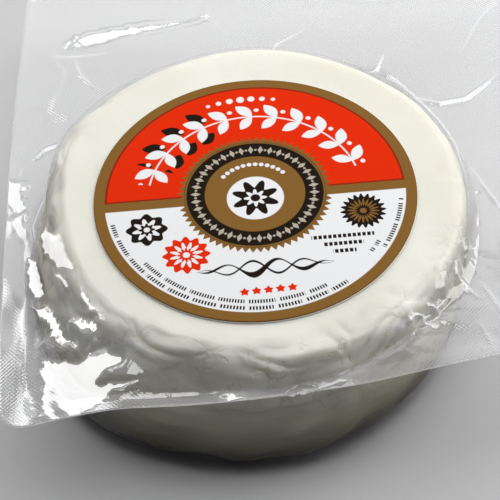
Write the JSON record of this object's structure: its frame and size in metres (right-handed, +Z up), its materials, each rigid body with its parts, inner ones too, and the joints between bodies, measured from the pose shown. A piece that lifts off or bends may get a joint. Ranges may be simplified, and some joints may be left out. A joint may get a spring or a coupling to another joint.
{
  "type": "vacuum-sealed cheese wheel",
  "caption": "Low round wheel of fresh white cheese, vacuum-sealed in a clear pouch with a wide thin flange, and a round paper label stuck on top.",
  "frame": {"origin": "centre of the wheel's flat base, on the surface that it stands on", "axes": "+Z up through the wheel, +X to the right and -Y to the front, with the pouch's longest side along Y"},
  "size_m": [0.1585, 0.1748, 0.0406],
  "materials": {
    "clear_film": "Clear glossy film with a fine embossed cross-hatch, tight on white cheese.",
    "cheese": "Moist, smooth, slightly translucent fresh white cheese.",
    "printed_paper": "Smooth coated paper printed in red, white, gold brown and black."
  },
  "bodies": {
    "root": {"sealed_pouch": "clear_film", "label": "printed_paper"}
  },
  "joints": []
}
